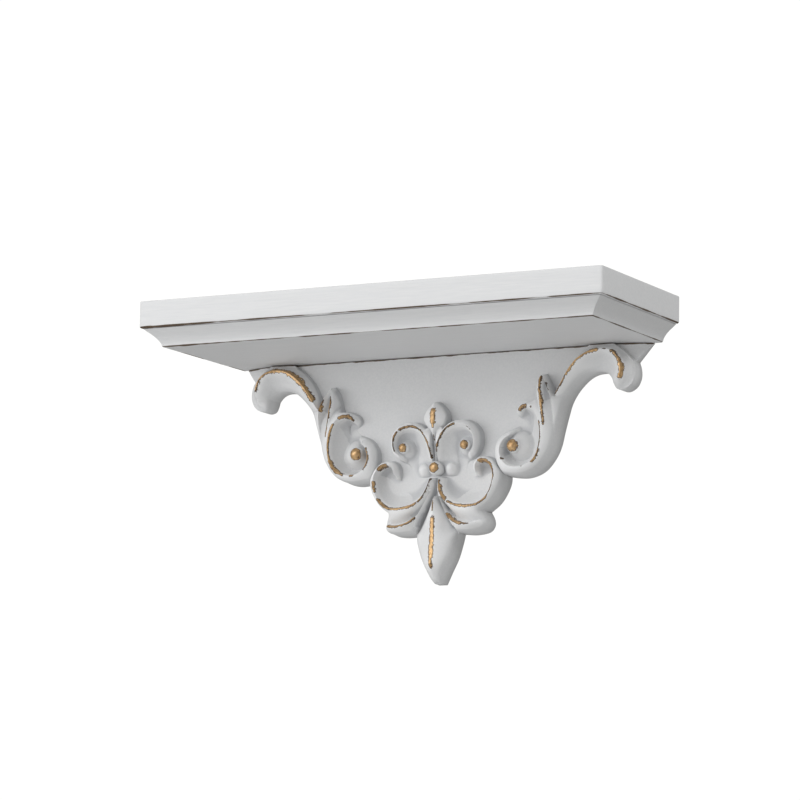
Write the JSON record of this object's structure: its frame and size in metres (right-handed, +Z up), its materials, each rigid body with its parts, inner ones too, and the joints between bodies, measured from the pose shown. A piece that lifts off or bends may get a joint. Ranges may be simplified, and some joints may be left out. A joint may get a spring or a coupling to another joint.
{
  "type": "wall shelf",
  "caption": "Small wall shelf: thick top board on a cove-moulded board, held by one carved bracket of mirrored scrolls, a central fleur and a pointed spear; hangs on keyhole plates.",
  "frame": {"origin": "on the wall plane, at the shelf's centre line, at the height of the two hanging points (60 mm below the top face)", "axes": "+X to the right of a person facing the shelf, +Y into the wall, +Z up"},
  "size_m": [0.3608, 0.127, 0.1956],
  "materials": {
    "painted_board": "off-white satin paint, brushed, rubbed through to dark brown in broken lines along the lower edges",
    "painted_carving": "off-white satin paint over carving, with antique gold and dark brown showing where the crests and balls are rubbed",
    "plate_brass": "satin brass plating",
    "screw_zinc": "bright zinc plating",
    "dowel_beech": "bare beech"
  },
  "bodies": {
    "root": {"top_board": "painted_board", "cove_board": "painted_board", "centre_fleur": "painted_carving", "spear_drop": "painted_carving", "left_scroll_carving": "painted_carving", "right_scroll_carving": "painted_carving", "left_c_scroll_carving": "painted_carving", "right_c_scroll_carving": "painted_carving", "bracket_panel": "painted_carving", "left_keyhole_plate": "plate_brass", "right_keyhole_plate": "plate_brass", "left_plate_screw_upper": "screw_zinc", "left_plate_screw_lower": "screw_zinc", "right_plate_screw_upper": "screw_zinc", "right_plate_screw_lower": "screw_zinc", "left_bracket_screw": "screw_zinc", "middle_bracket_screw": "screw_zinc", "right_bracket_screw": "screw_zinc", "left_bracket_dowel": "dowel_beech", "right_bracket_dowel": "dowel_beech", "left_board_dowel_rear": "dowel_beech", "left_board_dowel_front": "dowel_beech", "right_board_dowel_rear": "dowel_beech", "right_board_dowel_front": "dowel_beech"}
  },
  "joints": []
}
